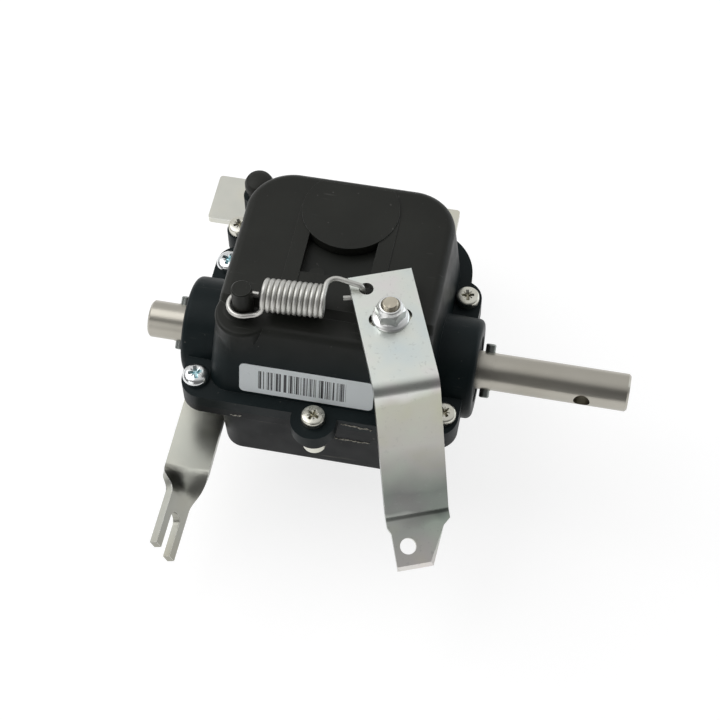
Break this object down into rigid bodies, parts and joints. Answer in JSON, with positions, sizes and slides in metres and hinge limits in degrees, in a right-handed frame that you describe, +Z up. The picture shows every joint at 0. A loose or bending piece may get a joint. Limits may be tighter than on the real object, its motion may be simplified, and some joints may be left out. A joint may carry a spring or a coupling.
{
  "type": "lawn mower transmission",
  "caption": "Worm-drive gearbox with split moulded housing, cross shaft, clutch lever with return spring and a twisted torque bracket with cable fork.",
  "frame": {"origin": "on the output shaft axis, midway between the two boss faces", "axes": "+X along the output shaft towards its long end, +Y to the rear of the gearbox, +Z up, square to the joint between the housing halves"},
  "size_m": [0.1943, 0.1857, 0.1253],
  "materials": {
    "housing_upper": "satin moulded",
    "housing_lower": "satin moulded",
    "label_white": "printed film",
    "zinc_bright": "bright zinc plated",
    "zinc_dull": "dull zinc plated",
    "steel_ground": "ground",
    "steel_dark": "oil blackened",
    "spring_wire": "galvanised",
    "bronze": "sintered",
    "rubber_black": "matt",
    "lining": "friction lining",
    "cap_black": "matt",
    "wheel_nylon": "natural nylon"
  },
  "bodies": {
    "housing": {"upper_housing": "housing_upper", "lower_housing": "housing_lower", "label": "label_white", "flange_screws": "zinc_bright", "front_nut": "zinc_dull", "breather_cap": "cap_black", "left_bush": "bronze", "right_bush": "bronze", "left_seal": "rubber_black", "right_seal": "rubber_black", "upper_bearing_outer_race": "steel_ground", "upper_bearing_balls": "steel_ground", "lower_bearing_outer_race": "steel_ground", "lower_bearing_balls": "steel_ground", "input_seal": "rubber_black", "spindle_bush": "bronze", "spindle_o_ring": "rubber_black", "return_spring": "spring_wire", "torque_bracket": "zinc_bright", "bracket_screws": "zinc_dull"},
    "output_shaft": {"output_shaft": "steel_ground", "roll_pins": "steel_dark", "shaft_clips": "steel_dark", "shaft_washers": "steel_ground", "driven_cone": "steel_ground", "cone_pin": "steel_dark"},
    "worm_wheel": {"worm_wheel": "wheel_nylon", "wheel_hub": "steel_ground"},
    "clutch_sleeve": {"clutch_sleeve": "steel_ground", "clutch_lining": "lining"},
    "input_shaft": {"worm_shaft": "steel_ground", "pulley_key": "steel_dark", "pulley_clip": "steel_dark", "upper_bearing_inner_race": "steel_ground", "lower_bearing_inner_race": "steel_ground"},
    "clutch_lever": {"lever_spindle": "zinc_dull", "shift_finger": "steel_dark", "clutch_lever": "zinc_bright", "flange_nut": "zinc_bright", "lever_spacer": "zinc_dull"}
  },
  "joints": [
    {"name": "output_spin", "type": "hinge", "parent": "housing", "child": "output_shaft", "pos_m": [0, 0, 0], "axis": [1, 0, 0], "continuous": true},
    {"name": "wheel_spin", "type": "hinge", "parent": "housing", "child": "worm_wheel", "pos_m": [0, 0, 0], "axis": [1, 0, 0], "continuous": true},
    {"name": "worm_spin", "type": "hinge", "parent": "housing", "child": "input_shaft", "pos_m": [0, 0.038, 0], "axis": [0, 0, 1], "continuous": true},
    {"name": "lever_pivot", "type": "hinge", "parent": "housing", "child": "clutch_lever", "pos_m": [0.026, -0.0158, 0], "axis": [0, 0, 1], "range_deg": [-25, 0], "stiffness_Nm_per_rad": 1, "springref_deg": 17.19, "deforming": ["return_spring"]},
    {"name": "sleeve_slide", "type": "slide", "parent": "worm_wheel", "child": "clutch_sleeve", "axis": [1, 0, 0], "range_m": [0, 0.00193]}
  ],
  "couplings": [
    {"joint": "worm_spin", "follows": "wheel_spin", "ratio": -13},
    {"joint": "sleeve_slide", "follows": "lever_pivot", "m_per_rad": -0.0044148}
  ]
}
